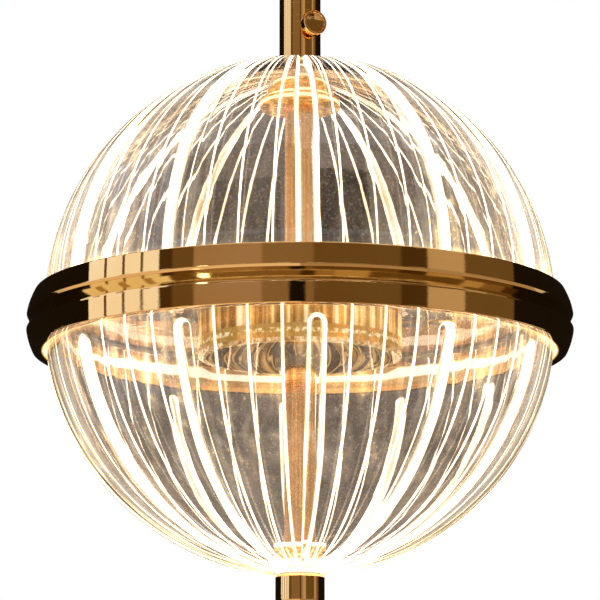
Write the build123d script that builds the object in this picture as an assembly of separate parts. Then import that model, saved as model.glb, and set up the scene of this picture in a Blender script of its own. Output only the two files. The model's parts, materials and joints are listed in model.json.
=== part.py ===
from build123d import *
import math
import os

# Ceiling chandelier: a clear fluted globe of two domes in a gold band with light strips inside it.
# It hangs on a telescoping stem with a lock screw, from a ball swivel in a ceiling canopy.
# Millimetres, +Z up, origin at the centre of the ceiling face. The front of the lamp is -Y.

# Clearances
running_gap = 0.1
thread_gap = 0.1
push_gap = 0.05
hole_gap = 0.3

# Globe domes
globe_radius = 100.0
dome_wall = 5.0
inner_land_depth = 1.0
land_margin = 1.5
wide_flute_count = 12
fine_lines_between = 3
wide_flute_width = 6.6
wide_flute_depth = 1.6
fine_line_width = 1.3
fine_line_depth = 0.7
flute_top_radius = 19.0
upper_flute_end_angle = 88.5
lower_flute_end_angle = 81.0
fine_line_end_angle = 88.5
flute_turn = 3.7
rim_gasket_thickness = 1.3
rim_gasket_inset = 0.6

# Light strips, stacked outwards from the globe
strip_clearance = 0.85
diffuser_thickness = 1.7
diffuser_gap = 0.2
chip_thickness = 0.8
chip_length = 3.5
chip_count = 60
board_thickness = 0.5
upper_chip_width = 2.2
lower_chip_width = 2.8
strip_end_gap = 0.4
lower_board_margin = 1.0

# Band
core_wall = 1.0
ring_wall = 2.15
lip_thickness = 2.0
lip_gap = 0.4
upper_channel = 5.0
lower_channel = 12.0
upper_tier_height = 9.8
groove_height = 4.7
upper_taper = 0.9
lower_taper = 1.3
ledge_chamfer = 1.5
lower_tier_chamfer = 0.4
upper_edge_round = 3.0
lower_edge_round = 4.0
lip_edge_round = 0.5

# Equator plate, its ledge and screws
plate_thickness = 2.0
ledge_width = 3.0
ledge_thickness = 2.0
plate_screw_count = 6
plate_screw_radius = 0.8
plate_screw_head_radius = 1.3
plate_screw_head_height = 1.2
screw_bite = 1.6
lead_radius = 0.5
lead_spacing = 6.0

# Hub drum under the plate
hub_radius = 40.0
hub_height = 14.5
hub_wall = 1.5
hub_flange_width = 6.0
hub_lid_thickness = 1.5
hub_lid_spigot = 1.0
hub_lid_round = 0.8
hub_screw_count = 4
hub_screw_radius = 1.2
hub_screw_head_radius = 2.2
hub_screw_head_height = 1.5
splice_gap = 1.0
splice_width = 12.0
splice_height = 9.0

# Stem: drop rod, centre tube, sleeve and lock screw
rod_radius = 4.3
rod_wall = 1.7
rod_inside = 72.0
rod_show = 12.0
lead_gap = 0.4
slide_gap = 0.2
tube_wall = 1.5
tube_grip = 6.0
stem_wall = 2.1
sleeve_length = 29.5
sleeve_edge_round = 1.0
stem_gasket_thickness = 0.8
gasket_inset = 0.2
wire_exit_radius = 2.5
wire_exit_drop = 9.0
nut_width_over_flats = 17.0
nut_height = 4.0
lock_height = 13.5
lock_turn = 27.5
lock_shank_radius = 2.0
lock_neck_radius = 3.2
lock_neck_length = 1.6
lock_head_radius = 5.0
lock_head_thickness = 3.6
lock_head_chamfer = 0.4
lock_rim_width = 1.2
lock_dish_depth = 0.6

# Collars inside the domes and the finial below
upper_collar_top_radius = 11.0
upper_collar_bottom_radius = 16.0
upper_collar_rib_count = 3
upper_collar_height = 11.7
lower_collar_radius = 10.0
lower_collar_rib_count = 2
lower_collar_height = 6.8
rib_groove_depth = 1.4
rib_groove_share = 0.3
finial_wall = 3.45
finial_barrel = 10.0
finial_taper = 2.0
finial_button_height = 4.0
finial_button_inset = 2.3
finial_top_round = 3.0
finial_button_round = 2.6
finial_grip = 10.0

# Ball swivel
ball_radius = 10.0
ball_flat = 8.0
ball_rise = 2.0
swing_limit = 20.0
mouth_margin = 6.0
mouth_clearance = 1.0
seat_wall = 3.0
seat_drop = 7.0
seat_edge_round = 1.0
seat_flange_width = 4.0
seat_flange_thickness = 2.5
rod_nut_width_over_flats = 13.0
rod_nut_height = 4.0
rod_nut_stickout = 1.0
lead_stickout = 2.0

# Canopy and ceiling bracket
canopy_radius = 60.0
canopy_height = 32.0
canopy_wall = 1.5
canopy_round = 6.0
bracket_width = 22.0
bracket_thickness = 2.0
bracket_side_gap = 0.4
ear_height = 15.0
ceiling_screw_spacing = 70.0
ceiling_slot_width = 5.0
ceiling_slot_length = 12.0
cable_hole_radius = 5.0
cable_hole_offset = 17.0
canopy_screw_drop = 7.0
canopy_screw_radius = 2.0
canopy_screw_stickout = 1.0
canopy_screw_head_radius = 4.5
canopy_screw_head_height = 3.5
canopy_screw_edge = 0.6
driver_length = 56.0
driver_width = 26.0
driver_height = 17.0
driver_edge_round = 2.0
driver_gap = 1.0
terminal_length = 30.0
terminal_width = 16.0
terminal_height = 13.0
terminal_pole_count = 3
terminal_screw_radius = 2.0
terminal_screw_depth = 3.0

# Radii that follow from the stem
tube_bore = rod_radius + slide_gap
tube_radius = tube_bore + tube_wall
tube_hole = tube_radius + thread_gap
stem_radius = tube_hole + stem_wall
rod_bore = rod_radius - rod_wall
finial_radius = tube_hole + finial_wall
dome_hole = tube_radius + hole_gap

# Radii that follow from the globe, outwards to the band's face
diffuser_inner = globe_radius + strip_clearance
diffuser_outer = diffuser_inner + diffuser_thickness
chip_front = diffuser_outer + diffuser_gap
chip_back = chip_front + chip_thickness
board_inner = chip_back + push_gap
board_outer = board_inner + board_thickness
core_inner = board_outer + push_gap
core_outer = core_inner + core_wall
ring_inner = core_outer + push_gap
band_outer = ring_inner + ring_wall
lip_inner = globe_radius + lip_gap

# Dome heights above the rim
inner_radius = globe_radius - dome_wall
land_radius = finial_radius + land_margin
land_height = math.sqrt(globe_radius**2 - land_radius**2)
inner_land_height = inner_radius - inner_land_depth
inner_land_radius = math.sqrt(inner_radius**2 - inner_land_height**2)

# Levels from the ceiling down to the globe's centre plane
canopy_floor = canopy_wall - canopy_height
pivot = ball_rise - canopy_height
seat_bottom = -canopy_height - seat_drop
sleeve_top = seat_bottom - rod_show
sleeve_bottom = sleeve_top - sleeve_length
upper_land = sleeve_bottom - stem_gasket_thickness
rim_offset = plate_thickness / 2 + rim_gasket_thickness
centre = upper_land - land_height - rim_offset
upper_rim = centre + rim_offset
lower_rim = centre - rim_offset
plate_top = centre + plate_thickness / 2
plate_bottom = centre - plate_thickness / 2
core_top = plate_top + upper_channel
core_bottom = plate_bottom - lower_channel
band_top = core_top + lip_thickness
band_bottom = core_bottom - lip_thickness
groove_top = band_top - upper_tier_height
groove_bottom = groove_top - groove_height
ledge_bottom = plate_bottom - ledge_thickness
hub_bottom = plate_bottom - hub_height
lid_bottom = hub_bottom - hub_lid_thickness
lower_land = lower_rim - land_height
finial_seat = lower_land - stem_gasket_thickness
finial_top = finial_seat - running_gap
tube_top = sleeve_bottom + tube_grip
tube_bottom = finial_top - finial_grip
lock_level = sleeve_bottom + lock_height
nut_corner = nut_width_over_flats / math.sqrt(3)


def disc(radius, low, high):
    """Round bar on the Z axis between two levels."""
    bar = Cylinder(radius, high - low, align=(Align.CENTER, Align.CENTER, Align.MIN))
    return Pos(0, 0, low) * bar


def ring(outer, inner, low, high):
    """Plain ring on the Z axis between two levels."""
    return disc(outer, low, high) - disc(inner, low, high)


def turned(corners, rounds=()):
    """Solid turned about Z from (radius, level) corners; rounds are (corner, radius) pairs."""
    section = Polygon(*corners, align=None)
    for corner, size in rounds:
        vertex = section.vertices().sort_by_distance((corner[0], corner[1], 0))[0]
        section = fillet(vertex, size)
    return revolve(Plane.XZ * section, Axis.Z)


def block(length, width, low, high, x=0.0, y=0.0):
    """Square block centred on (x, y) between two levels."""
    body = Box(length, width, high - low, align=(Align.CENTER, Align.CENTER, Align.MIN))
    return Pos(x, y, low) * body


def hex_nut(over_flats, bore, low, high):
    """Six-sided nut on the Z axis between two levels."""
    outline = RegularPolygon(over_flats / 2, 6, major_radius=False)
    return Pos(0, 0, low) * extrude(outline, high - low) - disc(bore, low, high)


def screw(shank_radius, head_radius, head_height, seat, tip):
    """Screw with its head below the seat level and its shank up to the tip level."""
    return disc(head_radius, seat - head_height, seat) + disc(shank_radius, seat, tip)


def around(count, radius, shape, start=0.0):
    """Copies of a shape on a circle about Z."""
    return [place * shape for place in PolarLocations(radius, count, start)]


def on_sphere(radius, angle):
    """(radius from the axis, height) of a point on a sphere, by its angle from the pole."""
    return (radius * math.sin(math.radians(angle)), radius * math.cos(math.radians(angle)))


def sphere_arc(radius, start, end):
    """Arc on a sphere's section between two angles from the pole."""
    middle = (start + end) / 2
    return ThreePointArc(on_sphere(radius, start), on_sphere(radius, middle), on_sphere(radius, end))


def meridian_groove(width, depth, end_angle):
    """Cutter for one groove down a dome, as wide as width at the rim and closing to the pole."""
    floor = globe_radius - depth
    outside = globe_radius + depth
    start_angle = math.degrees(math.asin(flute_top_radius / globe_radius))
    edges = Curve() + [
        sphere_arc(floor, start_angle, end_angle),
        Line(on_sphere(floor, end_angle), on_sphere(outside, end_angle)),
        sphere_arc(outside, end_angle, start_angle),
        Line(on_sphere(outside, start_angle), on_sphere(floor, start_angle)),
    ]
    sweep = math.degrees(width / globe_radius)
    cutter = revolve(Plane.XZ * make_face(edges), Axis.Z, revolution_arc=sweep)
    return Rot(0, 0, -sweep / 2) * cutter


def dome(wide_end_angle, turn):
    """Fluted half globe with its rim at level 0 and its pole up."""
    pole_angle = math.degrees(math.asin(land_radius / globe_radius))
    inner_angle = math.degrees(math.asin(inner_land_radius / inner_radius))
    edges = Curve() + [
        sphere_arc(globe_radius, 90, pole_angle),
        Line((land_radius, land_height), (dome_hole, land_height)),
        Line((dome_hole, land_height), (dome_hole, inner_land_height)),
        Line((dome_hole, inner_land_height), (inner_land_radius, inner_land_height)),
        sphere_arc(inner_radius, inner_angle, 90),
        Line((inner_radius, 0), (globe_radius, 0)),
    ]
    shell = revolve(Plane.XZ * make_face(edges), Axis.Z)
    wide = meridian_groove(wide_flute_width, wide_flute_depth, wide_end_angle)
    fine = meridian_groove(fine_line_width, fine_line_depth, fine_line_end_angle)
    line_count = wide_flute_count * (fine_lines_between + 1)
    step = 360 / line_count
    cutters = []
    for line in range(line_count):
        is_wide = line % (fine_lines_between + 1) == 0
        cutters.append(Rot(0, 0, turn + line * step) * (wide if is_wide else fine))
    return shell - cutters


def ribbed_collar(top_radius, bottom_radius, height, rib_count, top):
    """Turned collar on the centre tube with square grooves between its ribs."""
    pitch = height / (rib_count - rib_groove_share)
    corners = [(tube_hole, top)]
    for rib in range(rib_count):
        share = rib / max(rib_count - 1, 1)
        radius = top_radius + (bottom_radius - top_radius) * share
        rib_top = top - rib * pitch
        rib_bottom = rib_top - pitch * (1 - rib_groove_share)
        corners += [(radius, rib_top), (radius, rib_bottom)]
        if rib < rib_count - 1:
            neck = top_radius - rib_groove_depth
            corners += [(neck, rib_bottom), (neck, rib_top - pitch)]
    last_rib_bottom = corners[-1][1]
    corners.append((tube_hole, last_rib_bottom))
    return turned(corners)


def ceiling_bracket():
    """Steel strap under the ceiling with two turned-down ears for the canopy screws."""
    strap = block(2 * ear_face, bracket_width, -bracket_thickness, 0)
    slot = SlotOverall(ceiling_slot_length, ceiling_slot_width)
    slot_cut = Pos(0, 0, -bracket_thickness) * extrude(slot, bracket_thickness)
    for side in (-1, 1):
        ear_x = side * (ear_face - bracket_thickness / 2)
        strap += block(bracket_thickness, bracket_width, -bracket_thickness - ear_height, 0, ear_x)
        strap -= Pos(side * ceiling_screw_spacing / 2, 0, 0) * slot_cut
    strap -= Pos(cable_hole_offset, 0, 0) * disc(cable_hole_radius, -bracket_thickness, 0)
    hole = Rot(0, 90, 0) * Cylinder(canopy_screw_radius + thread_gap, 2 * canopy_radius)
    return strap - Pos(0, 0, canopy_screw_level) * hole


def ceiling_canopy():
    """Spun cup that covers the bracket, with the swivel hole in its floor."""
    corner = (canopy_radius, -canopy_height)
    inner_corner = (canopy_radius - canopy_wall, canopy_floor)
    cup = turned(
        [
            (seat_radius + running_gap, -canopy_height),
            corner,
            (canopy_radius, 0),
            (canopy_radius - canopy_wall, 0),
            inner_corner,
            (seat_radius + running_gap, canopy_floor),
        ],
        [(corner, canopy_round), (inner_corner, canopy_round - canopy_wall)],
    )
    hole = Rot(0, 90, 0) * Cylinder(canopy_screw_radius + hole_gap, 3 * canopy_radius)
    return cup - Pos(0, 0, canopy_screw_level) * hole


def canopy_screws():
    """Two cap screws through the canopy's side into the bracket's ears."""
    inner_end = ear_face - bracket_thickness - canopy_screw_stickout
    seat = canopy_radius + push_gap
    head_end = seat + canopy_screw_head_height
    head = disc(canopy_screw_head_radius, seat, head_end)
    head = fillet(head.edges().sort_by(Axis.Z)[-1], canopy_screw_edge)
    piece = head + disc(canopy_screw_radius, inner_end, seat)
    level = Pos(0, 0, canopy_screw_level)
    return [level * Rot(0, side * 90, 0) * piece for side in (-1, 1)]


def led_driver():
    """Power supply box on the canopy's floor, behind the swivel."""
    y = seat_flange_radius + driver_gap + driver_width / 2
    box = block(driver_length, driver_width, canopy_floor, canopy_floor + driver_height, 0, y)
    return fillet(box.edges().filter_by(Axis.Z), driver_edge_round)


def terminal_block():
    """Mains terminal block on the canopy's floor, in front of the swivel."""
    y = -(seat_flange_radius + driver_gap + terminal_width / 2)
    top = canopy_floor + terminal_height
    box = block(terminal_length, terminal_width, canopy_floor, top, 0, y)
    pitch = terminal_length / terminal_pole_count
    well = disc(terminal_screw_radius, top - terminal_screw_depth, top)
    for pole in range(terminal_pole_count):
        x = (pole - (terminal_pole_count - 1) / 2) * pitch
        for row in (-1, 1):
            box -= Pos(x, y + row * terminal_width / 4, 0) * well
    return box


def swivel_seat():
    """Flanged bush that turns in the canopy's floor and carries the ball in a round seat."""
    flange_low = canopy_floor + running_gap
    flange_high = flange_low + seat_flange_thickness
    bottom_corner = (seat_radius, seat_bottom)
    bush = turned(
        [
            (0, seat_bottom),
            bottom_corner,
            (seat_radius, flange_low),
            (seat_flange_radius, flange_low),
            (seat_flange_radius, flange_high),
            (0, flange_high),
        ],
        [(bottom_corner, seat_edge_round)],
    )
    socket = ball_radius + running_gap
    bush -= Pos(0, 0, pivot) * Sphere(socket)
    bush -= disc(socket, pivot, flange_high)
    mouth_angle = math.degrees(math.asin(rod_radius / ball_radius)) + swing_limit + mouth_margin
    mouth_radius, mouth_depth = on_sphere(socket, mouth_angle)
    swing = math.radians(swing_limit)
    depth = pivot - seat_bottom
    flare_radius = depth * math.tan(swing) + rod_radius / math.cos(swing) + mouth_clearance
    flare = turned(
        [
            (0, seat_bottom),
            (flare_radius, seat_bottom),
            (mouth_radius, pivot - mouth_depth),
            (0, pivot - mouth_depth),
        ]
    )
    return bush - flare


def swivel_ball():
    """Brass ball threaded on the drop rod, with a flat on top for its nut."""
    ball = Pos(0, 0, pivot) * Sphere(ball_radius)
    ball -= disc(ball_radius, pivot + ball_flat, pivot + 2 * ball_radius)
    return ball - disc(rod_radius + push_gap, pivot - 2 * ball_radius, pivot + 2 * ball_radius)


def stem_sleeve():
    """Gold sleeve on top of the globe, bored for the drop rod and tapped for the lock screw."""
    step = tube_top + push_gap
    top_corner = (stem_radius, sleeve_top)
    sleeve = turned(
        [
            (tube_hole, sleeve_bottom),
            (stem_radius, sleeve_bottom),
            top_corner,
            (rod_radius + running_gap, sleeve_top),
            (rod_radius + running_gap, step),
            (tube_hole, step),
        ],
        [(top_corner, sleeve_edge_round)],
    )
    hole = disc(lock_shank_radius + running_gap, 0, 2 * stem_radius)
    return sleeve - lock_place * hole


def lock_screw():
    """Round-headed lock screw with a dished face, along +Z from the stem's axis."""
    neck_base = stem_radius + running_gap
    head_base = stem_radius + lock_neck_length
    face = head_base + lock_head_thickness
    head = disc(lock_head_radius, head_base, face)
    head = chamfer(head.edges().filter_by(GeomType.CIRCLE), lock_head_chamfer)
    head -= disc(lock_head_radius - lock_rim_width, face - lock_dish_depth, face)
    shank = disc(lock_shank_radius, rod_radius + running_gap, neck_base)
    return lock_place * (head + disc(lock_neck_radius, neck_base, head_base) + shank)


def centre_tube():
    """Gold tube through the whole globe, with a hole for the lead inside the hub."""
    tube = ring(tube_radius, tube_bore, tube_bottom, tube_top)
    exit_level = centre - wire_exit_drop
    side_hole = Rot(0, 90, 0) * disc(wire_exit_radius, 0, 2 * tube_radius)
    return tube - Pos(0, 0, exit_level) * side_hole


def band_core():
    """Inner ring of the band, with the ledge that carries the equator plate."""
    core = ring(core_outer, core_inner, core_bottom, core_top)
    core += ring(core_inner, core_inner - ledge_width, ledge_bottom, plate_bottom)
    hole = disc(plate_screw_radius + thread_gap, ledge_bottom, plate_bottom)
    return core - around(plate_screw_count, plate_screw_circle, hole, plate_screw_start)


def upper_band_ring():
    """Polished upper tier of the band, with a lip over the core."""
    crest = (band_outer - upper_taper, band_top)
    lip_edge = (lip_inner, band_top)
    return turned(
        [
            (lip_inner, core_top),
            (ring_inner, core_top),
            (ring_inner, groove_top),
            (band_outer - ledge_chamfer, groove_top),
            (band_outer, groove_top + ledge_chamfer),
            crest,
            lip_edge,
        ],
        [(crest, upper_edge_round), (lip_edge, lip_edge_round)],
    )


def lower_band_ring():
    """Polished lower tier of the band, with a lip under the core."""
    foot = (band_outer - lower_taper, band_bottom)
    lip_edge = (lip_inner, band_bottom)
    return turned(
        [
            (lip_inner, core_bottom),
            (ring_inner, core_bottom),
            (ring_inner, groove_bottom),
            (band_outer - lower_tier_chamfer, groove_bottom),
            (band_outer, groove_bottom - lower_tier_chamfer),
            foot,
            lip_edge,
        ],
        [(foot, lower_edge_round), (lip_edge, lip_edge_round)],
    )


def equator_plate():
    """Mirror plate across the globe, on the core's ledge, with channels for the strip leads."""
    plate = disc(core_inner - push_gap, plate_bottom, plate_top) - disc(tube_hole, plate_bottom, plate_top)
    pocket = disc(plate_screw_radius + push_gap, plate_bottom, plate_bottom + screw_bite + push_gap)
    plate -= around(plate_screw_count, plate_screw_circle, pocket, plate_screw_start)
    hub_pocket = disc(hub_screw_radius + push_gap, plate_bottom, plate_bottom + screw_bite + push_gap)
    plate -= around(hub_screw_count, hub_screw_circle, hub_pocket, hub_screw_start)
    channel_depth = 2 * (lead_radius + push_gap)
    length = lead_end - splice_start
    middle = (lead_end + splice_start) / 2
    for side in (-1, 1):
        y = side * lead_spacing / 2
        plate -= block(length, channel_depth, plate_bottom, plate_bottom + channel_depth, middle, y)
    return plate


def strip_leads():
    """Two insulated leads in the plate's channels, from the splice block to the light strips."""
    lead = Rot(0, 90, 0) * disc(lead_radius, splice_start + push_gap, lead_end - push_gap)
    level = plate_bottom + lead_radius + push_gap
    return [Pos(0, side * lead_spacing / 2, level) * lead for side in (-1, 1)]


def light_chips(width, low, high):
    """Light chips on the inner face of a strip's board."""
    middle = (low + high) / 2
    chip = block(chip_thickness, chip_length, middle - width / 2, middle + width / 2)
    return around(chip_count, (chip_front + chip_back) / 2, chip)


def hub_drum():
    """Gold drum under the plate, with an inner flange for its screws."""
    drum = ring(hub_radius, hub_radius - hub_wall, hub_bottom, plate_bottom)
    drum += ring(hub_radius - hub_wall, hub_flange_inner, plate_bottom - hub_wall, plate_bottom)
    hole = disc(hub_screw_radius + thread_gap, plate_bottom - hub_wall, plate_bottom)
    return drum - around(hub_screw_count, hub_screw_circle, hole, hub_screw_start)


def hub_lid():
    """Lid under the drum, centred in it by a spigot."""
    rim = (hub_radius, lid_bottom)
    spigot_radius = hub_radius - hub_wall - running_gap
    return turned(
        [
            (tube_hole, lid_bottom),
            rim,
            (hub_radius, hub_bottom),
            (spigot_radius, hub_bottom),
            (spigot_radius, hub_bottom + hub_lid_spigot),
            (tube_hole, hub_bottom + hub_lid_spigot),
        ],
        [(rim, hub_lid_round)],
    )


def finial():
    """Turned nut that holds the lower dome, with a rounded shoulder and a button below."""
    barrel_bottom = finial_top - finial_barrel
    bottom = barrel_bottom - finial_taper - finial_button_height
    button_radius = finial_radius - finial_button_inset
    shoulder = (finial_radius, finial_top)
    button_corner = (button_radius, bottom)
    bore_end = tube_bottom - running_gap
    return turned(
        [
            (tube_hole, finial_top),
            shoulder,
            (finial_radius, barrel_bottom),
            (button_radius, barrel_bottom - finial_taper),
            button_corner,
            (0, bottom),
            (0, bore_end),
            (tube_hole, bore_end),
        ],
        [(shoulder, finial_top_round), (button_corner, finial_button_round)],
    )


# Places shared by pieces that fit each other
seat_radius = ball_radius + seat_wall
seat_flange_radius = seat_radius + seat_flange_width
ear_reach = canopy_radius - canopy_wall - bracket_side_gap
ear_face = math.sqrt(ear_reach**2 - (bracket_width / 2) ** 2)
canopy_screw_level = -bracket_thickness - canopy_screw_drop
lock_place = Pos(0, 0, lock_level) * Rot(0, 0, lock_turn - 90) * Rot(0, 90, 0)
plate_screw_circle = core_inner - ledge_width / 2
plate_screw_start = 180 / plate_screw_count
hub_screw_circle = hub_radius - hub_wall - hub_flange_width / 2
hub_screw_start = 180 / hub_screw_count
hub_flange_inner = hub_radius - hub_wall - hub_flange_width
splice_start = nut_corner + splice_gap
splice_end = math.sqrt((hub_flange_inner - splice_gap) ** 2 - (splice_width / 2) ** 2)
lead_end = core_inner - ledge_width / 2
lower_board_top = ledge_bottom - plate_screw_head_height - strip_end_gap
lower_board_bottom = core_bottom + lower_board_margin
upper_board_top = core_top - strip_end_gap
rod_bottom = sleeve_top - rod_inside
rod_nut_top = pivot + ball_flat + rod_nut_height
rod_top = rod_nut_top + rod_nut_stickout
lead_low = centre - wire_exit_drop + wire_exit_radius
gasket_inner = tube_radius + hole_gap
gasket_outer = stem_radius - gasket_inset
gasket_rim_outer = globe_radius - rim_gasket_inset
gasket_rim_inner = inner_radius + rim_gasket_inset

pieces = {
    "ceiling_bracket": ceiling_bracket(),
    "ceiling_canopy": ceiling_canopy(),
    "canopy_screws": canopy_screws(),
    "led_driver": led_driver(),
    "terminal_block": terminal_block(),
    "swivel_seat": swivel_seat(),
    "swivel_ball": swivel_ball(),
    "swivel_nut": hex_nut(rod_nut_width_over_flats, rod_radius + push_gap, pivot + ball_flat, rod_nut_top),
    "drop_rod": ring(rod_radius, rod_bore, rod_bottom, rod_top),
    "supply_lead": disc(rod_bore - lead_gap, lead_low, rod_top + lead_stickout),
    "stem_sleeve": stem_sleeve(),
    "lock_screw": lock_screw(),
    "stem_gasket": ring(gasket_outer, gasket_inner, upper_land, sleeve_bottom),
    "upper_dome": Pos(0, 0, upper_rim) * dome(upper_flute_end_angle, flute_turn - 90),
    "upper_collar": ribbed_collar(
        upper_collar_top_radius,
        upper_collar_bottom_radius,
        upper_collar_height,
        upper_collar_rib_count,
        upper_rim + inner_land_height,
    ),
    "centre_tube": centre_tube(),
    "upper_band_ring": upper_band_ring(),
    "band_core": band_core(),
    "lower_band_ring": lower_band_ring(),
    "equator_plate": equator_plate(),
    "plate_screws": around(
        plate_screw_count,
        plate_screw_circle,
        screw(
            plate_screw_radius,
            plate_screw_head_radius,
            plate_screw_head_height,
            ledge_bottom,
            plate_bottom + screw_bite,
        ),
        plate_screw_start,
    ),
    "upper_rim_gasket": ring(gasket_rim_outer, gasket_rim_inner, plate_top, upper_rim),
    "lower_rim_gasket": ring(gasket_rim_outer, gasket_rim_inner, lower_rim, plate_bottom),
    "upper_light_board": ring(board_outer, board_inner, plate_top, upper_board_top),
    "upper_light_chips": light_chips(upper_chip_width, plate_top, upper_board_top),
    "upper_diffuser": ring(diffuser_outer, diffuser_inner, plate_top, core_top - push_gap),
    "lower_light_board": ring(board_outer, board_inner, lower_board_bottom, lower_board_top),
    "lower_light_chips": light_chips(lower_chip_width, lower_board_bottom, lower_board_top),
    "lower_diffuser": ring(diffuser_outer, diffuser_inner, core_bottom, lower_board_top),
    "strip_leads": strip_leads(),
    "hub_drum": hub_drum(),
    "hub_screws": around(
        hub_screw_count,
        hub_screw_circle,
        screw(
            hub_screw_radius,
            hub_screw_head_radius,
            hub_screw_head_height,
            plate_bottom - hub_wall,
            plate_bottom + screw_bite,
        ),
        hub_screw_start,
    ),
    "splice_block": block(
        splice_end - splice_start,
        splice_width,
        plate_bottom - splice_height,
        plate_bottom,
        (splice_start + splice_end) / 2,
    ),
    "plate_nuts": [
        hex_nut(nut_width_over_flats, tube_hole, plate_top, plate_top + nut_height),
        hex_nut(nut_width_over_flats, tube_hole, plate_bottom - nut_height, plate_bottom),
    ],
    "hub_lid": hub_lid(),
    "hub_nut": hex_nut(nut_width_over_flats, tube_hole, lid_bottom - nut_height, lid_bottom),
    "lower_dome": Pos(0, 0, lower_rim) * Rot(180, 0, 0) * dome(lower_flute_end_angle, 90 - flute_turn),
    "lower_collar": Pos(0, 0, lower_rim - inner_land_height)
    * Rot(180, 0, 0)
    * ribbed_collar(
        lower_collar_radius,
        lower_collar_radius,
        lower_collar_height,
        lower_collar_rib_count,
        0,
    ),
    "finial_gasket": ring(gasket_outer, gasket_inner, finial_seat, lower_land),
    "finial": finial(),
}

os.makedirs("parts", exist_ok=True)
for name, shape in pieces.items():
    if isinstance(shape, list):
        shape = Compound([solid for copy in shape for solid in copy.solids()])
    export_step(shape, f"parts/{name}.step")
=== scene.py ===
import json
import math

import bmesh
import bpy
from mathutils import Matrix, Vector


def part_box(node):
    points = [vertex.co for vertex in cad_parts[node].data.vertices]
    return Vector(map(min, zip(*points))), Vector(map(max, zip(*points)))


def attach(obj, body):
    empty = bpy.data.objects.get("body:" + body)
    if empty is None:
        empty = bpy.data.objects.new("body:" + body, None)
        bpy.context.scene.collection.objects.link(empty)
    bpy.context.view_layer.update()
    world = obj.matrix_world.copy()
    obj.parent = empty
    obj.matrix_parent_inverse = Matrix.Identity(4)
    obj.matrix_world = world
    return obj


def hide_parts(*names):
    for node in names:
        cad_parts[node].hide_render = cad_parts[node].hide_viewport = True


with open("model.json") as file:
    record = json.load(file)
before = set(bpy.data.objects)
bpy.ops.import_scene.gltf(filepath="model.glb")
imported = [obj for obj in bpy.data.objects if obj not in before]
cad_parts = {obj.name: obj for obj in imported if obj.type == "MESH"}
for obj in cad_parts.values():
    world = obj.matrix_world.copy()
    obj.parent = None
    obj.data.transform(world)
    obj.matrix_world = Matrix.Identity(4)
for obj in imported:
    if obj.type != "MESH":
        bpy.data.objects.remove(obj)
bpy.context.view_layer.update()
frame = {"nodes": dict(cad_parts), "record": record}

# Ceiling chandelier: a clear fluted globe lit through its edges, in a gold band, on a gold stem.
# Metres, in the frame of the solids: +Z up, the ceiling face at zero, the front towards -Y.

# Globe, read from the frame
upper_dome_low, upper_dome_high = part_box("upper_dome")
lower_dome_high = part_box("lower_dome")[1]
globe_radius = max(upper_dome_high.x, upper_dome_high.y)
upper_rim = upper_dome_low.z
lower_rim = lower_dome_high.z
land_height = upper_dome_high.z - upper_rim
globe_centre = Vector((0, 0, (upper_rim + lower_rim) / 2))

# Dome wall and flutes
dome_wall = 0.005
inner_land_depth = 0.001
dome_hole_radius = 0.0063
line_count = 48
lines_per_flute = 4
lower_flute_turn = math.radians(3.7)
upper_flute_turn = math.radians(1.7)
lower_flute_half_width = 0.0033
upper_flute_half_width = 0.0041
flute_depth = 0.0036
flute_floor_share = 0.74
flute_reach = 0.0006
upper_flute_end = math.radians(95)
lower_flute_end = math.radians(79.1)
fine_half_width = 0.00038
fine_depth = 0.0006
fine_reach = 0.00042
fine_rim_share = 0.65
flute_top_radius = 0.014
columns_per_line = 20
rim_rows = 24
rim_zone = math.radians(73)
outer_rows = 58
inner_rows = 20
sharp_angle = math.radians(70)
column_shares = (0.0, 0.1, 0.3, 0.4, 0.5)
widest_edge_share = 0.66
widest_floor_share = 0.8
widest_reach_share = 0.92
pole_zone = (0.010, 0.070)
pole_reach_share = 0.4
flute_pole_share = 1.3
fine_floor_share = 0.4
fine_taper_radians = 1.1
flute_start_stretch = 1.6
back_flute_zone = (-0.7, 0.3)
merge_distance = 1e-7

# Glow of the domes, by the direction a line faces (1 front, -1 back) and by distance from the axis
back_floor_zone = (-0.9, -0.2)
side_glow_end = 0.60
front_rim_zone = (0.78, 0.95)
rim_glow_fade_radians = 0.05
pole_glow_zone = (0.010, 0.034)
flute_wall_zone = (0.75, 1.2)
fine_glow_start = 0.5

# Haze in the acrylic, painted as glow: dimmer in the middle and brighter at the sides above the globe's
# centre, dimmer at the front; by height from the globe's centre and by distance to the side and to the
# front
painted_dim_middle_rise = (0.004, 0.03)
painted_dim_middle_half_width = (0.018, 0.055)
painted_light_sides = (0.050, 0.090)
painted_light_side_rise = (0.0, 0.012)
painted_dim_front_zone = (-0.097, -0.086)
painted_dim_front_share = 0.3
patch_reach = (0.006, 0.036)
streak_reach = (0.055, 0.090)
ripple_height = 0.00005

# Painted light on the gold: inner lip of the band, collars, hub wall and hub lid
lip_light = (0.0002, 0.0010)
collar_line = (0.0003, 0.0011)
collar_line_inset = 0.0005
collar_low_line = 0.0013
collar_middle_share = 0.35
hub_rim = (0.0050, 0.0058)
hub_sparkle_level = 0.0028
hub_sparkle_line = (0.0004, 0.0013)
lid_edge = (0.0036, 0.0028)
lid_bow = 330.0

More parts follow.
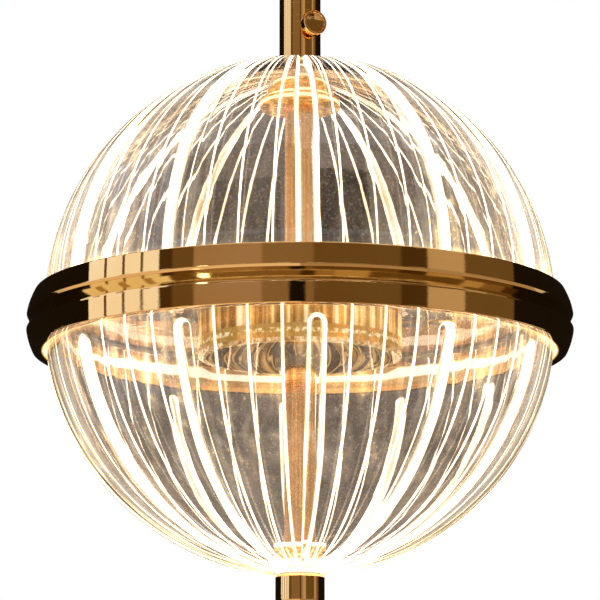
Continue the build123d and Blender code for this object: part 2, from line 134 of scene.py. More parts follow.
# Band, read from the frame
upper_ring_low, upper_ring_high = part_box("upper_band_ring")
lower_ring_low, lower_ring_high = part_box("lower_band_ring")
band_radius = upper_ring_high.x
lip_clearance = 0.0004
lip_radius = globe_radius + lip_clearance
ring_wall = 0.00275
ring_inner_radius = band_radius - ring_wall
core_wall = 0.0004
core_clearance = 0.00005
lip_thickness = 0.002
groove_top = upper_ring_low.z
groove_bottom = lower_ring_high.z
groove_middle = (groove_top + groove_bottom) / 2
band_bulge_radius = 0.022
crest_round = 0.0005
foot_round = 0.0004
ledge_height = 0.0011
ledge_depth = 0.0011
groove_edge_round = 0.0004
ledge_round = 0.0003
lip_round = 0.0003
bulge_steps = 20
cove_steps = 10
groove_depth = 0.0010
groove_core_radius = band_radius - groove_depth
groove_cove = 0.00025

# Turned pieces
turned_steps = 256
arc_steps = 6
turned_sharp_angle = math.radians(35)
finial_steps = 128
lock_steps = 96
crown_steps = 6

# Finial and lock screw, read from the frame
finial_low, finial_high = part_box("finial")
finial_radius = finial_high.x
finial_bore = 0.0061
finial_bore_depth = 0.0101
finial_barrel = 0.010
finial_taper = 0.002
finial_button_inset = 0.0023
finial_top_round = 0.0009
finial_button_round = 0.0026
lock_low, lock_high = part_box("lock_screw")
lock_level = (lock_low.z + lock_high.z) / 2
lock_turn = math.radians(27.5)
lock_shank_start = 0.0044
lock_neck_start = 0.0083
lock_head_start = 0.0098
lock_face = 0.0134
lock_shank_radius = 0.002
lock_neck_radius = 0.0032
lock_head_radius = 0.005
lock_rim_width = 0.0012
lock_rim_round = 0.0005
lock_dish_depth = 0.0006
lock_crown = 0.0002

# Bright line on the strip covers, which swells and rises towards the sides
lower_diffuser_low, lower_diffuser_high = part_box("lower_diffuser")
upper_diffuser_low, upper_diffuser_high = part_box("upper_diffuser")
strip_half_height = 0.0010
strip_fade = 0.0008
strip_swell = 0.0008
strip_swell_rise = 0.0014
strip_swell_start = (0.036, 0.044)
strip_swell_end = (0.070, 0.086)

# Photo's camera
camera_distance = 1.487
camera_drop_angle = math.radians(10.8)
camera_lens = 227.2
frame_width_px = 600
centre_drop_px = 15.8

# Stage
card_radius = 1.9
floor_level = -0.8
floor_size = 30.0
floor_card_lift = 0.01
card_floor_lift = 0.02
spark_floor_lift = 0.03
card_step = 4
tier_card_column = 0.004
tier_card_rows = 10
tier_card_inset = 0.0004
round_card_rise = (0, 22)
round_card_distance = card_radius + 0.03
round_bar_distance = card_radius + 0.01
near_flag_distance = card_radius - 0.04
high_flag_distance = card_radius + 0.06
near_back_distance = card_radius - 0.02
spark_distance = 0.3
soft_light_strength = 0.6


class Field:
    """A number in a node tree; plain arithmetic on it adds math nodes."""

    def __init__(self, tree, socket):
        self.tree = tree
        self.socket = socket

    def math(self, operation, *others):
        node = self.tree.nodes.new("ShaderNodeMath")
        node.operation = operation
        for place, value in zip(node.inputs, (self, *others)):
            put(self.tree, value, place)
        return Field(self.tree, node.outputs[0])

    def __add__(self, other):
        return self.math("ADD", other)

    def __sub__(self, other):
        return self.math("SUBTRACT", other)

    def __mul__(self, other):
        return self.math("MULTIPLY", other)

    def __truediv__(self, other):
        return self.math("DIVIDE", other)

    def root(self):
        return self.math("SQRT")

    def below(self, other):
        return self.math("LESS_THAN", other)

    def largest(self, other):
        return self.math("MAXIMUM", other)

    def smallest(self, other):
        return self.math("MINIMUM", other)

    def eased(self, start, end):
        """0 at start to 1 at end, with soft ends."""
        node = self.tree.nodes.new("ShaderNodeMapRange")
        node.interpolation_type = "SMOOTHSTEP"
        put(self.tree, self, node.inputs["Value"])
        put(self.tree, start, node.inputs["From Min"])
        put(self.tree, end, node.inputs["From Max"])
        return Field(self.tree, node.outputs["Result"])

    def faded(self, start, end):
        """1 at start to 0 at end, with soft ends."""
        return self.eased(start, end) * -1.0 + 1.0

    def mapped(self, start, end, low, high):
        """The stretch from start to end taken to the stretch from low to high."""
        node = self.tree.nodes.new("ShaderNodeMapRange")
        put(self.tree, self, node.inputs["Value"])
        for name, value in (("From Min", start), ("From Max", end), ("To Min", low), ("To Max", high)):
            put(self.tree, value, node.inputs[name])
        return Field(self.tree, node.outputs["Result"])


def put(tree, value, socket):
    """Links a field or an output to a socket, or sets a plain value on it."""
    if isinstance(value, Field):
        tree.links.new(value.socket, socket)
    elif isinstance(value, bpy.types.NodeSocket):
        tree.links.new(value, socket)
    else:
        socket.default_value = value


def choose(tree, test, when_true, when_false):
    """One of two numbers, by a test field."""
    node = tree.nodes.new("GeometryNodeSwitch")
    node.input_type = "FLOAT"
    put(tree, test, node.inputs["Switch"])
    put(tree, when_false, node.inputs["False"])
    put(tree, when_true, node.inputs["True"])
    return Field(tree, node.outputs[0])


def add_node(tree, kind, **inputs):
    """A node with some of its inputs linked or set, by input name."""
    node = tree.nodes.new(kind)
    for name, value in inputs.items():
        put(tree, value, node.inputs[name.replace("_", " ")])
    return node


def new_object(name, data):
    """A new object, in the scene."""
    thing = bpy.data.objects.new(name, data)
    bpy.context.scene.collection.objects.link(thing)
    return thing


# Materials


def new_material(name):
    """An empty material with a Principled shader, its tree and that shader."""
    material = bpy.data.materials.new(name)
    material.use_nodes = True
    tree = material.node_tree
    return material, tree, tree.nodes["Principled BSDF"]


def object_noise(tree, scale, detail=4.0, stretch=(1, 1, 1), warp=0.0):
    """Noise on the piece's own coordinates."""
    place = tree.nodes.new("ShaderNodeTexCoord")
    mapping = add_node(tree, "ShaderNodeMapping", Vector=place.outputs["Object"], Scale=stretch)
    noise = add_node(
        tree,
        "ShaderNodeTexNoise",
        Vector=mapping.outputs["Vector"],
        Scale=scale,
        Detail=detail,
        Distortion=warp,
    )
    return Field(tree, noise.outputs["Fac"])


def object_part(tree, axis):
    """One of a point's own coordinates."""
    place = tree.nodes.new("ShaderNodeTexCoord")
    split = add_node(tree, "ShaderNodeSeparateXYZ", Vector=place.outputs["Object"])
    return Field(tree, split.outputs[axis])


def object_reach(tree):
    """Distance of a point from the vertical axis of its own coordinates."""
    across = object_part(tree, "X")
    along = object_part(tree, "Y")
    return (across * across + along * along).root()


def colour_by(tree, socket, value, stops):
    """Colours a socket by a value, from (position, colour) stops."""
    ramp = tree.nodes.new("ShaderNodeValToRGB")
    elements = ramp.color_ramp.elements
    while len(elements) < len(stops):
        elements.new(0.5)
    for element, (position, colour) in zip(elements, stops):
        element.position = position
        element.color = (*colour, 1)
    put(tree, value, ramp.inputs["Fac"])
    put(tree, ramp.outputs["Color"], socket)


def bump_by(tree, shader, height, distance, strength=1.0):
    """Fine relief on a shader, by a height."""
    bump = add_node(tree, "ShaderNodeBump", Strength=strength, Distance=distance, Height=height)
    put(tree, bump.outputs["Normal"], shader.inputs["Normal"])


def polished_gold(
    name, deep, pale, smooth, worn, ridge=(1, 1, 30), ridge_scale=60.0, ridge_height=0.00002
):
    """Mirror gold plate with faint clouding and fine polishing lines."""
    material, tree, shader = new_material(name)
    shader.inputs["Metallic"].default_value = 1.0
    cloud = object_noise(tree, 28.0)
    colour_by(tree, shader.inputs["Base Color"], cloud, [(0.35, deep), (0.65, pale)])
    put(tree, cloud.mapped(0.3, 0.75, smooth, worn), shader.inputs["Roughness"])
    polish = object_noise(tree, ridge_scale, 3.0, ridge)
    bump_by(tree, shader, polish, ridge_height)
    return material


def lit_band_gold():
    """Band gold with painted light: its inner lip glows in patches, as if the strip's light caught it.
    """
    material = polished_gold("lit_band_gold", gold_deep, gold_pale, 0.015, 0.04)
    tree = material.node_tree
    shader = tree.nodes["Principled BSDF"]
    # Painted light: a patchy glow along the inner edge of the lip
    patchy = object_noise(tree, 120.0, 2.0).mapped(0.3, 0.7, 0.55, 1.0)
    light = object_reach(tree).faded(lip_radius + lip_light[0], lip_radius + lip_light[1]) * patchy
    warmth = [(0.0, (0.0, 0.0, 0.0)), (0.6, (0.75, 0.42, 0.10)), (1.0, (1.0, 0.72, 0.32))]
    colour_by(tree, shader.inputs["Emission Color"], light, warmth)
    shader.inputs["Emission Strength"].default_value = 1.2
    return material


def lit_acrylic():
    """Clear acrylic, a little smoky, whose fluted edges glow from the light sent in at the rim; its hazy
    glow, specks, patches and streaks are painted light.
    """
    material, tree, shader = new_material("lit_acrylic")
    material.cycles.emission_sampling = "NONE"
    shader.inputs["IOR"].default_value = 1.49
    shader.inputs["Transmission Weight"].default_value = 1.0
    shader.inputs["Roughness"].default_value = 0.012
    smoke = object_noise(tree, 24.0, 8.0)
    tint = [(0.3, (0.54, 0.49, 0.45)), (0.7, (0.70, 0.65, 0.61))]
    colour_by(tree, shader.inputs["Base Color"], smoke, tint)
    attribute = tree.nodes.new("ShaderNodeAttribute")
    attribute.attribute_name = "edge_glow"
    above = object_part(tree, "Z") - globe_centre.z
    aside = object_part(tree, "X").math("ABSOLUTE")
    # Painted shade and light: the hazy glow is dimmer in the middle and brighter at the sides above the
    # globe's centre, and dimmer at the front
    painted_dim_middle = above.eased(*painted_dim_middle_rise) * aside.faded(*painted_dim_middle_half_width)
    front = object_part(tree, "Y").mapped(*painted_dim_front_zone, painted_dim_front_share, 1.0)
    painted_haze_light = object_noise(tree, 34.0, 5.0).mapped(0.46, 0.75, 0.0, 0.13)
    painted_haze_light = painted_haze_light * (painted_dim_middle * -0.75 + 1.0) * front
    painted_haze_light = painted_haze_light + aside.eased(*painted_light_sides) * above.eased(*painted_light_side_rise) * 0.11
    # Dust specks, painted as tiny glowing glints
    specks = object_noise(tree, 900.0, 1.0).mapped(0.60, 0.76, 0.0, 0.30)
    from_rim = above.math("ABSOLUTE")
    # Painted light: glowing patches and upright streaks near the rim, fewer in the middle and at the
    # front
    patches = object_noise(tree, 75.0, 3.0, (1, 1, 0.5)).mapped(0.52, 0.72, 0.0, 0.27)
    patches = patches * from_rim.faded(*patch_reach) * front
    streaks = object_noise(tree, 170.0, 3.0, (1, 1, 0.05)).mapped(0.50, 0.72, 0.0, 0.30)
    streaks = streaks * from_rim.faded(*streak_reach) * (painted_dim_middle * -0.6 + 1.0) * front
    unevenness = object_noise(tree, 24.0, 3.0).mapped(0.35, 0.62, 0.62, 1.06)
    glow = Field(tree, attribute.outputs["Fac"]) * unevenness + painted_haze_light + specks * 0.6 + patches + streaks
    warmth = [
        (0.0, (0.0, 0.0, 0.0)),
        (0.22, (0.05, 0.040, 0.028)),
        (0.36, (0.21, 0.148, 0.075)),
        (0.48, (0.52, 0.32, 0.11)),
        (0.70, (1.0, 0.84, 0.58)),
        (1.0, (1.0, 0.97, 0.92)),
    ]
    colour_by(tree, shader.inputs["Emission Color"], glow, warmth)
    shader.inputs["Emission Strength"].default_value = 2.4
    shader.inputs["Sheen Weight"].default_value = 0.5
    shader.inputs["Sheen Roughness"].default_value = 0.2
    shader.inputs["Sheen Tint"].default_value = (1.0, 0.92, 0.82, 1)
    ripple = object_noise(tree, 26.0, 2.0, warp=0.5)
    bump_by(tree, shader, ripple, ripple_height)
    return material


def strip_opal(name, low, high):
    """Opal strip cover: a hot line along its middle where the chips are, amber above and below."""
    material, tree, shader = new_material(name)
    shader.inputs["Roughness"].default_value = 0.35
    middle = (low + high) / 2
    across = object_part(tree, "X").math("ABSOLUTE")
    aside = across.eased(*strip_swell_start) * across.faded(*strip_swell_end)
    away = (object_part(tree, "Z") - middle - aside * strip_swell_rise).math("ABSOLUTE")
    half = aside * strip_swell + strip_half_height
    hot = away.faded(half, half + strip_fade)
    streak = object_noise(tree, 14.0, 3.0, (1, 1, 60))
    glow = hot + streak.mapped(0.35, 0.7, 0.04, 0.20)
    amber = [
        (0.0, (0.40, 0.19, 0.04)),
        (0.2, (0.95, 0.58, 0.18)),
        (0.6, (1.0, 0.80, 0.42)),
        (1.0, (1.0, 0.96, 0.86)),
    ]
    plastic = [(0.3, (0.80, 0.62, 0.36)), (0.7, (0.90, 0.74, 0.48))]
    colour_by(tree, shader.inputs["Base Color"], streak, plastic)
    colour_by(tree, shader.inputs["Emission Color"], glow, amber)
    put(tree, hot.mapped(0.0, 1.0, 0.8, 3.2), shader.inputs["Emission Strength"])
    return material


def lit_gold(name, levels, strength):
    """Gold ribs with painted light standing in for the light of the dome's edges: a glow with glints,
    hottest along some levels.
    """
    material, tree, shader = new_material(name)
    shader.inputs["Metallic"].default_value = 1.0
    glitter = object_noise(tree, 420.0, 4.0, (1, 1, 2.5))
    colour_by(tree, shader.inputs["Base Color"], glitter, [(0.3, gold_deep), (0.7, gold_pale)])
    put(tree, glitter.mapped(0.3, 0.7, 0.08, 0.25), shader.inputs["Roughness"])
    height = object_part(tree, "Z")
    # Painted light: glowing glints, and glowing lines along the given levels
    hot = glitter.mapped(0.48, 0.75, 0.0, 0.5)
    for level in levels:
        hot = hot + (height - level).math("ABSOLUTE").faded(*collar_line)
    warmth = [(0.0, (0.16, 0.08, 0.015)), (0.4, (0.75, 0.44, 0.12)), (0.9, (1.0, 0.90, 0.66))]
    colour_by(tree, shader.inputs["Emission Color"], hot, warmth)
    shader.inputs["Emission Strength"].default_value = strength
    return material


def lit_hub_gold():
    """Hub wall: gold with painted upright streaks of strip light, and a painted glittering line of light
    round its lower rim.
    """
    material, tree, shader = new_material("hub_wall_gold")
    shader.inputs["Metallic"].default_value = 1.0
    shader.inputs["Roughness"].default_value = 0.12
    # Painted reflection: upright streaks, dark and light in the gold's colour and glowing in its
    # emission
    streak = object_noise(tree, 330.0, 3.0, (1, 1, 0.03))
    colour_by(tree, shader.inputs["Base Color"], streak, [(0.35, (0.42, 0.22, 0.05)), (0.65, gold_deep)])
    height = object_part(tree, "Z")
    # Painted light: a glowing band round the lower rim with a glittering line in it
    glitter = object_noise(tree, 520.0, 2.0).mapped(0.45, 0.68, 0.0, 1.0)
    rim = height.faded(hub_low.z + hub_rim[0], hub_low.z + hub_rim[1])
    from_line = (height - hub_low.z - hub_sparkle_level).math("ABSOLUTE")
    sparkle = glitter * from_line.faded(*hub_sparkle_line)
    light = streak.mapped(0.36, 0.66, 0.0, 1.0) * (rim * -1.0 + 1.0) + rim * (sparkle * 0.9 + 0.30)
    warmth = [
        (0.0, (0.14, 0.065, 0.005)),
        (0.4, (0.48, 0.31, 0.05)),
        (0.75, (1.0, 0.83, 0.40)),
        (1.0, (1.0, 0.95, 0.80)),
    ]
    colour_by(tree, shader.inputs["Emission Color"], light, warmth)
    shader.inputs["Emission Strength"].default_value = 1.3
    return material


def lid_mirror():
    """Hub lid: brown mirror with painted bowed streaks of reflected light, and a painted glittering gold
    edge.
    """
    material, tree, shader = new_material("lid_mirror")
    shader.inputs["Metallic"].default_value = 1.0
    shader.inputs["Roughness"].default_value = 0.05
    across = object_part(tree, "X")
    along = object_part(tree, "Y")
    # Painted reflections: streaks bowed round the lid, dark and light in its colour and bright in its
    # glow
    bow = across / (along * along * -lid_bow + 1.0).root()
    place = add_node(tree, "ShaderNodeCombineXYZ", X=bow, Y=along * 0.05, Z=0.0)
    noise = add_node(tree, "ShaderNodeTexNoise", Vector=place.outputs["Vector"], Scale=170.0, Detail=2.0)
    streak = Field(tree, noise.outputs["Fac"])
    mirror = [(0.3, (0.15, 0.08, 0.028)), (0.7, (0.28, 0.16, 0.065))]
    colour_by(tree, shader.inputs["Base Color"], streak, mirror)
    # Painted light: glittering glints round the edge and thin bright lines along the streaks
    glitter = object_noise(tree, 600.0, 2.0).mapped(0.40, 0.70, 0.25, 1.0)
    edge = object_reach(tree).eased(lid_radius - lid_edge[0], lid_radius - lid_edge[1])
    thin = (streak - 0.5).math("ABSOLUTE").faded(0.004, 0.03)
    light = streak.mapped(0.52, 0.74, 0.0, 0.6) + thin * 0.45 + edge * glitter * 0.7
    warmth = [(0.0, (0.03, 0.014, 0.003)), (0.35, (0.46, 0.25, 0.06)), (1.0, (1.0, 0.84, 0.52))]
    colour_by(tree, shader.inputs["Emission Color"], light, warmth)
    shader.inputs["Emission Strength"].default_value = 1.6
    return material


def glowing_opal(name, colour, strength):
    """Opal plastic in front of lamps, a little uneven in brightness."""
    material, tree, shader = new_material(name)
    shader.inputs["Roughness"].default_value = 0.4
    cloud = object_noise(tree, 90.0)
    dim = tuple(0.85 * part for part in colour)
    for socket in ("Base Color", "Emission Color"):
        colour_by(tree, shader.inputs[socket], cloud, [(0.3, dim), (0.7, colour)])
    shader.inputs["Emission Strength"].default_value = strength
    return material


def grained(name, dark, light, roughness, scale, metallic=0.0):
    """Plain moulded, painted or plated surface with a fine grain."""
    material, tree, shader = new_material(name)
    shader.inputs["Metallic"].default_value = metallic
    grain = object_noise(tree, scale, 8.0)
    colour_by(tree, shader.inputs["Base Color"], grain, [(0.3, dark), (0.7, light)])
    put(tree, grain.mapped(0.3, 0.7, roughness * 0.8, roughness * 1.2), shader.inputs["Roughness"])
    bump_by(tree, shader, grain, distance=0.0002, strength=0.1)
    return material


gold_deep = (0.90, 0.51, 0.19)
gold_pale = (0.95, 0.58, 0.24)
band_gold = polished_gold("band_gold", gold_deep, gold_pale, 0.015, 0.04)
stem_gold = polished_gold("stem_gold", gold_deep, gold_pale, 0.02, 0.06)
groove_gold = polished_gold("groove_gold", (0.72, 0.33, 0.06), (0.82, 0.42, 0.10), 0.04, 0.10)
hub_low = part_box("hub_drum")[0]
lid_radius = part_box("hub_lid")[1].x
dome_acrylic = lit_acrylic()
collar_low, collar_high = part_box("upper_collar")
lower_collar_low, lower_collar_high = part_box("lower_collar")
slot_finishes = {
    "gold_band": band_gold,
    "gold_stem": stem_gold,
    "gold_canopy": polished_gold("canopy_gold", gold_deep, gold_pale, 0.05, 0.12),
    "gold_hub": lit_hub_gold(),
    "mirror_plate": polished_gold(
        "plate_mirror",
        deep=(0.25, 0.14, 0.04),
        pale=(0.34, 0.20, 0.08),
        smooth=0.03,
        worn=0.08,
        ridge=(1, 1, 1),
        ridge_scale=30.0,
        ridge_height=0.0006,
    ),
    "clear_dome": dome_acrylic,
    "lit_diffuser": strip_opal("lower_strip_opal", lower_diffuser_low.z, lower_diffuser_high.z),
    "light_chip": glowing_opal("chip_phosphor", (1.0, 0.80, 0.42), 4.0),
    "strip_board": grained("board_white", (0.80, 0.80, 0.77), (0.88, 0.88, 0.85), 0.4, 400.0),
    "clear_gasket": grained("gasket_silicone", (0.70, 0.68, 0.64), (0.80, 0.78, 0.74), 0.35, 300.0),
    "zinc_steel": grained("zinc_plate", (0.50, 0.50, 0.49), (0.66, 0.66, 0.64), 0.28, 220.0, 1.0),
    "driver_case": grained("driver_shell", (0.74, 0.74, 0.72), (0.84, 0.84, 0.82), 0.5, 900.0),
    "terminal_white": grained("terminal_nylon", (0.78, 0.78, 0.75), (0.88, 0.88, 0.86), 0.45, 700.0),
    "lead_sheath": grained("lead_silicone", (0.70, 0.68, 0.63), (0.82, 0.80, 0.75), 0.45, 500.0),
}
# Levels of the painted lines of light on the collars
upper_collar_painted_light_levels = [
    collar_high.z - collar_line_inset,
    collar_low.z + (collar_high.z - collar_low.z) * collar_middle_share,
    collar_low.z + collar_low_line,
]
lower_collar_painted_light_levels = [lower_collar_high.z - collar_line_inset, lower_collar_low.z + collar_line_inset]
node_finishes = {
    "upper_collar": lit_gold("upper_collar_gold", upper_collar_painted_light_levels, 2.1),
    "lower_collar": lit_gold("lower_collar_gold", lower_collar_painted_light_levels, 4.5),
    "band_core": groove_gold,
    "hub_lid": lid_mirror(),
    "upper_diffuser": strip_opal("upper_strip_opal", upper_diffuser_low.z, upper_diffuser_high.z),
}

for part in frame["record"]["subparts"]:
    node_mesh = frame["nodes"][part["node"]].data
    node_mesh.materials.clear()
    node_mesh.materials.append(node_finishes.get(part["node"], slot_finishes[part["material_slot"]]))


# Domes


def dome_tree():
    """Geometry nodes for one fluted dome: a grid rolled round the axis, with grooves pressed into it."""
    tree = bpy.data.node_groups.new("fluted_dome", "GeometryNodeTree")
    sizes = {
        "Globe radius": globe_radius,
        "Wall": dome_wall,
        "Land height": land_height,
        "Inner land height": globe_radius - dome_wall - inner_land_depth,
        "Hole radius": dome_hole_radius,
        "Flute turn": lower_flute_turn,
        "Flute half width": lower_flute_half_width,
        "Flute depth": flute_depth,
        "Flute floor share": flute_floor_share,
        "Flute reach": flute_reach,
        "Flute end angle": lower_flute_end,
        "Flute top radius": flute_top_radius,
        "Fine half width": fine_half_width,
        "Fine depth": fine_depth,
        "Fine reach": fine_reach,
        "Fine rim share": fine_rim_share,
        "Front boldness": 1.0,
        "Back boldness": 1.0,
        "Pole boldness": 0.35,
        "Side glow": 0.42,
        "Rim glow": 0.37,
        "Rim glow angle": math.radians(80.6),
        "Front rim share": 0.3,
        "Pole glow": 0.0,
        "Back floor glow": 0.8,
        "Back flute share": 1.0,
        "Rim level": upper_rim,
        "Pole side": 1.0,
    }
    for name, value in sizes.items():
        socket = tree.interface.new_socket(name, in_out="INPUT", socket_type="NodeSocketFloat")
        socket.default_value = value
    tree.interface.new_socket("Finish", in_out="INPUT", socket_type="NodeSocketMaterial")
    tree.interface.new_socket("Dome", in_out="OUTPUT", socket_type="NodeSocketGeometry")
    group_in = tree.nodes.new("NodeGroupInput")
    size = {name: Field(tree, group_in.outputs[name]) for name in sizes}

    columns = line_count * columns_per_line
    # Each arc has one row more than it has steps, the hole has two, and the last row closes the rim
    rows = outer_rows + inner_rows + 5
    grid = add_node(
        tree, "GeometryNodeMeshGrid", Size_X=1.0, Size_Y=1.0, Vertices_X=columns + 1, Vertices_Y=rows
    )
    grid_point = tree.nodes.new("GeometryNodeInputPosition").outputs[0]
    place = add_node(tree, "ShaderNodeSeparateXYZ", Vector=grid_point)
    across = (Field(tree, place.outputs["X"]) + 0.5) * line_count
    row = (Field(tree, place.outputs["Y"]) + 0.5) * (rows - 1)
    line = across.math("ROUND")
    offset = across - line
    out_from_line = offset.math("ABSOLUTE")
    is_flute = line.math("FLOORED_MODULO", lines_per_flute).below(0.5)

    # Section of the shell: outer arc from rim to pole, the hole, the inner arc, and back to the rim
    radius = size["Globe radius"]
    inner_radius = radius - size["Wall"]
    pole_angle = (size["Land height"] / radius).math("ARCCOSINE")
    inner_pole_angle = (size["Inner land height"] / inner_radius).math("ARCCOSINE")
    quarter = math.pi / 2
    inner_start = outer_rows + 3
    is_outer = row.below(outer_rows + 0.5)
    is_land = row.below(outer_rows + 1.5)
    is_hole = row.below(outer_rows + 2.5)
    is_inner = row.below(inner_start + inner_rows + 0.5)
    outer_angle = row.mapped(0, rim_rows, quarter, rim_zone)
    outer_angle = outer_angle + row.mapped(rim_rows, outer_rows, 0.0, pole_angle - rim_zone)
    inner_angle = row.mapped(inner_start, inner_start + inner_rows, inner_pole_angle, quarter)
    angle = choose(tree, is_outer, outer_angle, inner_angle)
    ring = angle.math("SINE") * radius

    # Half widths along the surface; a flute closes in a round end towards the rim
    step = 2 * math.pi / line_count
    facing = (line * step + size["Flute turn"]).math("COSINE")
    boldness = facing.mapped(-1.0, 1.0, size["Back boldness"], size["Front boldness"])
    boldness = boldness * ring.mapped(*pole_zone, size["Pole boldness"], 1.0)
    fine_width = size["Fine half width"] * boldness
    fine_width = fine_width * angle.mapped(fine_taper_radians, quarter, 1.0, size["Fine rim share"])
    flute_width = ring * (size["Flute half width"] * flute_pole_share / radius)
    flute_width = size["Flute half width"].smallest(flute_width)
    flute_width = flute_width * facing.mapped(*back_flute_zone, size["Back flute share"], 1.0)
    half_width = choose(tree, is_flute, flute_width, fine_width)
    flute_reach_here = size["Flute reach"] * ring.mapped(*pole_zone, pole_reach_share, 1.0)
    reach = choose(tree, is_flute, flute_reach_here, size["Fine reach"] * boldness)
    floor_share = choose(tree, is_flute, size["Flute floor share"], fine_floor_share)
    past_end = ((angle - size["Flute end angle"]) * radius).largest(0.0)
    past_end = choose(tree, is_flute, past_end, 0.0)
    past_square = past_end * past_end
    least = 1e-8
    edge = (half_width * half_width - past_square).largest(least).root()
    floor_width = half_width * floor_share
    floor_edge = (floor_width * floor_width - past_square).largest(least).root()

    # Columns follow the floor, the wall and the glow beside each line at every height
    half_step = step / 2
    edge_turn = (edge / ring).smallest(half_step * widest_edge_share)
    floor_turn = (floor_edge / ring).smallest(edge_turn * widest_floor_share)
    reach_turn = (edge_turn + reach / ring).smallest(half_step * widest_reach_share)
    spread = out_from_line * 0.0
    knots = list(zip(column_shares, (spread, floor_turn, edge_turn, reach_turn, spread + half_step)))
    for (start, turn_start), (end, turn_end) in zip(knots, knots[1:]):
        spread = spread + out_from_line.mapped(start, end, 0.0, turn_end - turn_start)
    turn = line * step + offset.math("SIGN") * spread
    beside = spread * ring
    share = (beside * beside + past_square).root() / half_width

    # Grooves with a flat floor and soft edges
    started = ring.eased(size["Flute top radius"], size["Flute top radius"] * flute_start_stretch)
    depth = choose(tree, is_flute, size["Flute depth"], size["Fine depth"])
    press = share.faded(floor_share, 1.0) * depth * started
    outer_radius = radius - press

    # Glow on the flutes' walls and the fine lines, fading just outside them
    fade = share.faded(1.0, reach / half_width + 1.0)
    wall_glow = share.eased(floor_share * flute_wall_zone[0], floor_share * flute_wall_zone[1])
    floor_glow = facing.mapped(*back_floor_zone, size["Back floor glow"], 0.0)
    flute_glow = wall_glow.largest(floor_glow) * fade
    fine_glow = share.faded(fine_glow_start, reach / half_width + 1.0)
    glow = choose(tree, is_flute, flute_glow, fine_glow)
    glow = glow * facing.math("ABSOLUTE").mapped(0.0, side_glow_end, size["Side glow"], 1.0)
    towards_front = (turn + size["Flute turn"]).math("COSINE")
    rim_glow_end = size["Rim glow angle"] + rim_glow_fade_radians
    rim_glow = angle.eased(size["Rim glow angle"], rim_glow_end) * size["Rim glow"]
    rim_glow = rim_glow * towards_front.mapped(*front_rim_zone, 1.0, size["Front rim share"])
    pole_glow = ring.faded(*pole_glow_zone) * size["Pole glow"]
    glow = glow.largest(rim_glow).largest(pole_glow)

    shell_radius = choose(tree, is_inner, inner_angle.math("SINE") * inner_radius, outer_radius)
    shell_radius = choose(tree, is_hole, size["Hole radius"], shell_radius)
    shell_radius = choose(tree, is_outer, outer_angle.math("SINE") * outer_radius, shell_radius)
    shell_height = choose(tree, is_inner, inner_angle.math("COSINE") * inner_radius, 0.0)
    shell_height = choose(tree, is_hole, size["Inner land height"], shell_height)
    shell_height = choose(tree, is_land, size["Land height"], shell_height)
    shell_height = choose(tree, is_outer, outer_angle.math("COSINE") * outer_radius, shell_height)

    azimuth = turn + size["Flute turn"]
    position = add_node(
        tree,
        "ShaderNodeCombineXYZ",
        X=azimuth.math("SINE") * shell_radius,
        Y=azimuth.math("COSINE") * shell_radius * -1.0,
        Z=shell_height * size["Pole side"] + size["Rim level"],
    )
    store = add_node(
        tree, "GeometryNodeStoreNamedAttribute", Geometry=grid.outputs["Mesh"], Name="edge_glow"
    )
    store.data_type = "FLOAT"
    store.domain = "POINT"
    is_rim = is_inner * -1.0 + 1.0
    put(tree, glow * (is_outer + is_rim), store.inputs["Value"])
    placed = add_node(
        tree,
        "GeometryNodeSetPosition",
        Geometry=store.outputs["Geometry"],
        Position=position.outputs["Vector"],
    )
    joined = add_node(
        tree, "GeometryNodeMergeByDistance", Geometry=placed.outputs["Geometry"], Distance=merge_distance
    )
    is_lower = size["Pole side"].below(0.0)
    outward = add_node(
        tree, "GeometryNodeFlipFaces", Mesh=joined.outputs["Geometry"], Selection=is_lower
    )
    faces = add_node(tree, "GeometryNodeSetShadeSmooth", Geometry=outward.outputs["Mesh"])
    edge_angle = tree.nodes.new("GeometryNodeInputMeshEdgeAngle").outputs["Unsigned Angle"]
    edges = add_node(
        tree,
        "GeometryNodeSetShadeSmooth",
        Geometry=faces.outputs["Geometry"],
        Selection=(Field(tree, edge_angle) - sharp_angle).math("GREATER_THAN", 0.0),
        Shade_Smooth=False,
    )
    edges.domain = "EDGE"
    real = add_node(tree, "GeometryNodeRealizeInstances", Geometry=edges.outputs["Geometry"])
    finish = add_node(
        tree,
        "GeometryNodeSetMaterial",
        Geometry=real.outputs["Geometry"],
        Material=group_in.outputs["Finish"],
    )
    group_out = tree.nodes.new("NodeGroupOutput")
    put(tree, finish.outputs["Geometry"], group_out.inputs["Dome"])
    return tree


def grown_piece(name, tree, inputs):
    """A plain mesh object from a geometry tree with its inputs set by name."""
    host = new_object(name + "_host", bpy.data.meshes.new(name + "_host"))
    modifier = host.modifiers.new("grow", "NODES")
    modifier.node_group = tree
    for item in tree.interface.items_tree:
        if item.in_out == "INPUT" and item.name in inputs:
            modifier[item.identifier] = inputs[item.name]
    graph = bpy.context.evaluated_depsgraph_get()
    mesh = bpy.data.meshes.new_from_object(host.evaluated_get(graph))
    mesh.name = name
    host.modifiers.remove(modifier)
    bpy.data.objects.remove(host)
    return new_object(name, mesh)


